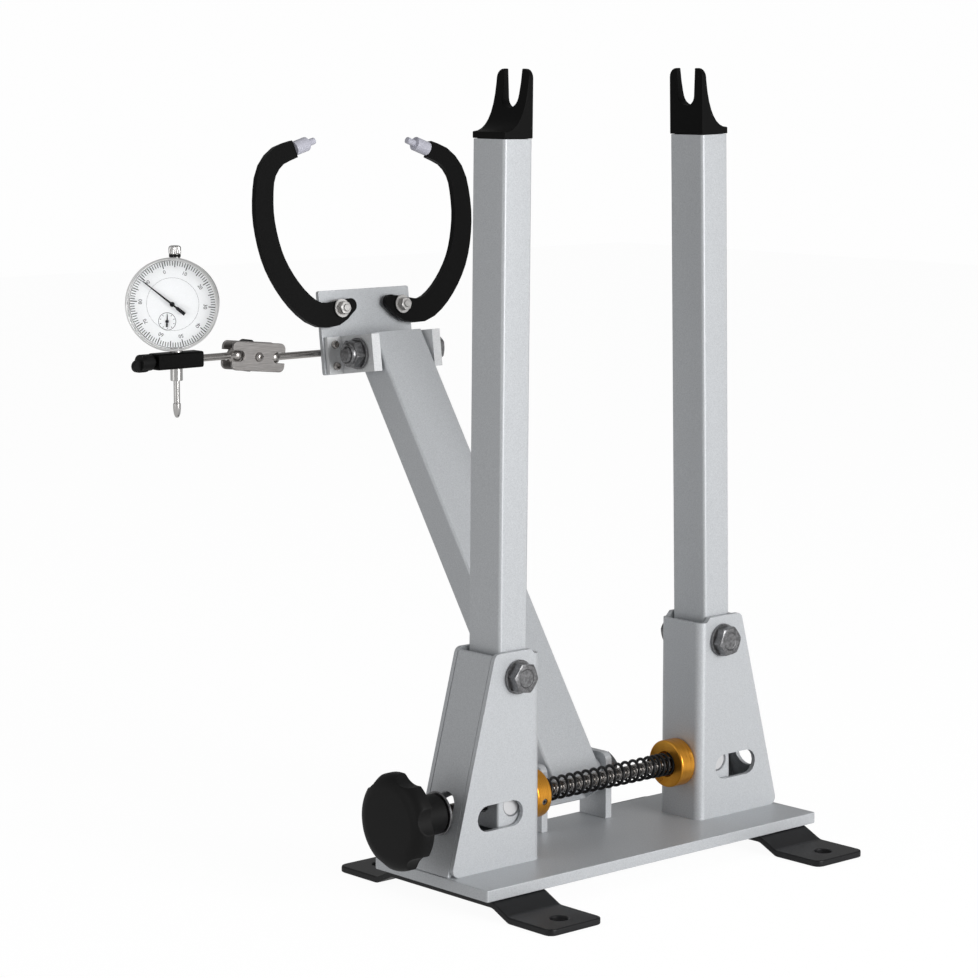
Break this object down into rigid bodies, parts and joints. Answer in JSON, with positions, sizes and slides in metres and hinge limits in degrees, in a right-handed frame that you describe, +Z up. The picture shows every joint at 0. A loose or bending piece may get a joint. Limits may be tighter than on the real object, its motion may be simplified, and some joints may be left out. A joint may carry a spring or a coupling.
{
  "type": "bicycle wheel truing stand",
  "caption": "Bench stand that holds a bicycle wheel by its axle between two screw-spread posts, with a tilting rear arm for rim calipers and a dial indicator.",
  "frame": {"origin": "on the bench, under the middle of the stand's overall length and depth", "axes": "+X along the base plate, away from the star knob; +Y to the back, where the arm leans; +Z up"},
  "size_m": [0.3308, 0.3604, 0.4965],
  "materials": {
    "silver_paint": "fine silver powder coat, satin",
    "black_paint": "black powder coat, satin",
    "black_plastic": "black moulded plastic, matt",
    "zinc": "zinc-plated steel, satin",
    "bright_steel": "bright plated steel",
    "gold": "gold anodised, satin",
    "spring": "black oxide, half gloss",
    "white_plastic": "white moulded plastic",
    "dial_white": "white printed dial",
    "crystal": "clear acrylic"
  },
  "bodies": {
    "stand": {"base_plate": "silver_paint", "left_foot": "black_paint", "right_foot": "black_paint", "left_bracket": "silver_paint", "right_bracket": "silver_paint", "left_closing_plate": "silver_paint", "right_closing_plate": "silver_paint", "left_rear_lug": "silver_paint", "right_rear_lug": "silver_paint", "left_pivot_bolt": "zinc", "right_pivot_bolt": "zinc", "left_pivot_nut": "zinc", "right_pivot_nut": "zinc", "arm_hinge_bolt": "zinc", "arm_hinge_nut": "zinc"},
    "spreader": {"spreader_screw": "bright_steel", "star_knob": "black_plastic", "knob_washer": "zinc", "left_collar": "gold", "right_collar": "gold", "spreader_spring": "spring"},
    "left_post": {"left_post": "silver_paint", "left_dropout_cap": "black_plastic"},
    "right_post": {"right_post": "silver_paint", "right_dropout_cap": "black_plastic"},
    "left_nut": {"left_barrel_nut": "zinc"},
    "right_nut": {"right_barrel_nut": "zinc"},
    "arm": {"rear_arm": "silver_paint"},
    "head": {"head_plate": "silver_paint", "left_head_lug": "silver_paint", "right_head_lug": "silver_paint", "head_bolt": "zinc", "head_nut": "zinc", "left_lower_screw": "bright_steel", "left_upper_screw": "bright_steel", "right_lower_screw": "bright_steel", "right_upper_screw": "bright_steel", "left_caliper_bolt": "bright_steel", "right_caliper_bolt": "bright_steel", "rod_block": "silver_paint"},
    "left_caliper": {"left_caliper_arm": "black_paint", "left_caliper_tip": "white_plastic"},
    "right_caliper": {"right_caliper_arm": "black_paint", "right_caliper_tip": "white_plastic"},
    "head_rod": {"head_rod": "bright_steel"},
    "swivel": {"swivel_front_plate": "bright_steel", "swivel_back_plate": "bright_steel", "swivel_screw": "bright_steel"},
    "swivel_nut": {"swivel_thumb_nut": "black_plastic"},
    "dial_rod": {"dial_rod": "bright_steel"},
    "clamp": {"dial_clamp": "black_paint"},
    "clamp_knob": {"clamp_knob": "black_plastic"},
    "dial": {"dial_case": "bright_steel", "dial_face": "dial_white", "dial_cap": "bright_steel"},
    "bezel": {"dial_bezel": "bright_steel", "dial_crystal": "crystal"},
    "plunger": {"plunger": "bright_steel"},
    "main_hand": {"main_hand": "black_paint"},
    "small_hand": {"small_hand": "black_paint"}
  },
  "joints": [
    {"name": "spreader_turn", "type": "hinge", "parent": "stand", "child": "spreader", "pos_m": [0.02293, -0.07861, 0.0544], "axis": [1, 0, 0], "range_deg": [-1080, 720]},
    {"name": "left_post_lean", "type": "hinge", "parent": "stand", "child": "left_post", "pos_m": [-0.06527, -0.07861, 0.134], "axis": [0, 1, 0], "range_deg": [-2.18, 3.26]},
    {"name": "right_post_lean", "type": "hinge", "parent": "stand", "child": "right_post", "pos_m": [0.11113, -0.07861, 0.134], "axis": [0, 1, 0], "range_deg": [-3.26, 2.18]},
    {"name": "left_nut_turn", "type": "hinge", "parent": "left_post", "child": "left_nut", "pos_m": [-0.06625, -0.07861, 0.0544], "axis": [0, 1, 0], "range_deg": [-3.26, 2.18]},
    {"name": "right_nut_turn", "type": "hinge", "parent": "right_post", "child": "right_nut", "pos_m": [0.11279, -0.07861, 0.0544], "axis": [0, 1, 0], "range_deg": [-2.18, 3.26]},
    {"name": "arm_tilt", "type": "hinge", "parent": "stand", "child": "arm", "pos_m": [0.02643, -0.04061, 0.0488], "axis": [1, 0, 0], "range_deg": [-30, 15]},
    {"name": "head_tilt", "type": "hinge", "parent": "arm", "child": "head", "pos_m": [0.02643, 0.12789, 0.30877], "axis": [1, 0, 0], "range_deg": [-30, 30]},
    {"name": "left_caliper_turn", "type": "hinge", "parent": "head", "child": "left_caliper", "pos_m": [-0.00337, 0.15271, 0.3369], "axis": [0, 0.9925, -0.1219], "range_deg": [-15, 15]},
    {"name": "right_caliper_turn", "type": "hinge", "parent": "head", "child": "right_caliper", "pos_m": [0.04922, 0.15271, 0.3369], "axis": [0, 0.9925, -0.1219], "range_deg": [-15, 15]},
    {"name": "head_rod_turn", "type": "hinge", "parent": "head", "child": "head_rod", "pos_m": [0.02293, 0.15577, 0.30766], "axis": [1, 0, 0], "range_deg": [-45, 45]},
    {"name": "swivel_lean", "type": "hinge", "parent": "head_rod", "child": "swivel", "pos_m": [-0.05427, 0.15577, 0.30766], "axis": [0, 1, 0], "range_deg": [-30, 10]},
    {"name": "swivel_nut_turn", "type": "hinge", "parent": "swivel", "child": "swivel_nut", "pos_m": [-0.06949, 0.15577, 0.30926], "axis": [0, 1, 0], "range_deg": [-180, 180]},
    {"name": "dial_rod_lean", "type": "hinge", "parent": "swivel", "child": "dial_rod", "pos_m": [-0.08471, 0.15577, 0.31086], "axis": [0, 1, 0], "range_deg": [-30, 5]},
    {"name": "clamp_turn", "type": "hinge", "parent": "dial_rod", "child": "clamp", "pos_m": [-0.13128, 0.15577, 0.31086], "axis": [1, 0, 0], "range_deg": [-45, 45]},
    {"name": "clamp_knob_turn", "type": "hinge", "parent": "clamp", "child": "clamp_knob", "pos_m": [-0.13128, 0.15577, 0.31086], "axis": [1, 0, 0], "range_deg": [-180, 180]},
    {"name": "dial_turn", "type": "hinge", "parent": "clamp", "child": "dial", "pos_m": [-0.13128, 0.15577, 0.31086], "axis": [0, 0, 1], "range_deg": [-90, 90]},
    {"name": "bezel_turn", "type": "hinge", "parent": "dial", "child": "bezel", "pos_m": [-0.13128, 0.15577, 0.34756], "axis": [-0.7193, -0.6947, 0], "continuous": true},
    {"name": "plunger_slide", "type": "slide", "parent": "dial", "child": "plunger", "axis": [0, 0, 1], "range_m": [0, 0.01], "stiffness_N_per_m": 60, "springref_m": -0.01},
    {"name": "main_hand_turn", "type": "hinge", "parent": "dial", "child": "main_hand", "pos_m": [-0.13128, 0.15577, 0.34756], "axis": [-0.7193, -0.6947, 0], "range_deg": [-3601, 0]},
    {"name": "small_hand_turn", "type": "hinge", "parent": "dial", "child": "small_hand", "pos_m": [-0.13385, 0.15843, 0.33656], "axis": [-0.7193, -0.6947, 0], "range_deg": [0, 361]}
  ],
  "couplings": [
    {"joint": "left_post_lean", "follows": "spreader_turn", "ratio": -0.0029988},
    {"joint": "right_post_lean", "follows": "spreader_turn", "ratio": 0.0029988},
    {"joint": "left_nut_turn", "follows": "spreader_turn", "ratio": 0.0029988},
    {"joint": "right_nut_turn", "follows": "spreader_turn", "ratio": -0.0029988},
    {"joint": "main_hand_turn", "follows": "plunger_slide", "rad_per_m": -6283.2},
    {"joint": "small_hand_turn", "follows": "plunger_slide", "rad_per_m": 628.32}
  ]
}
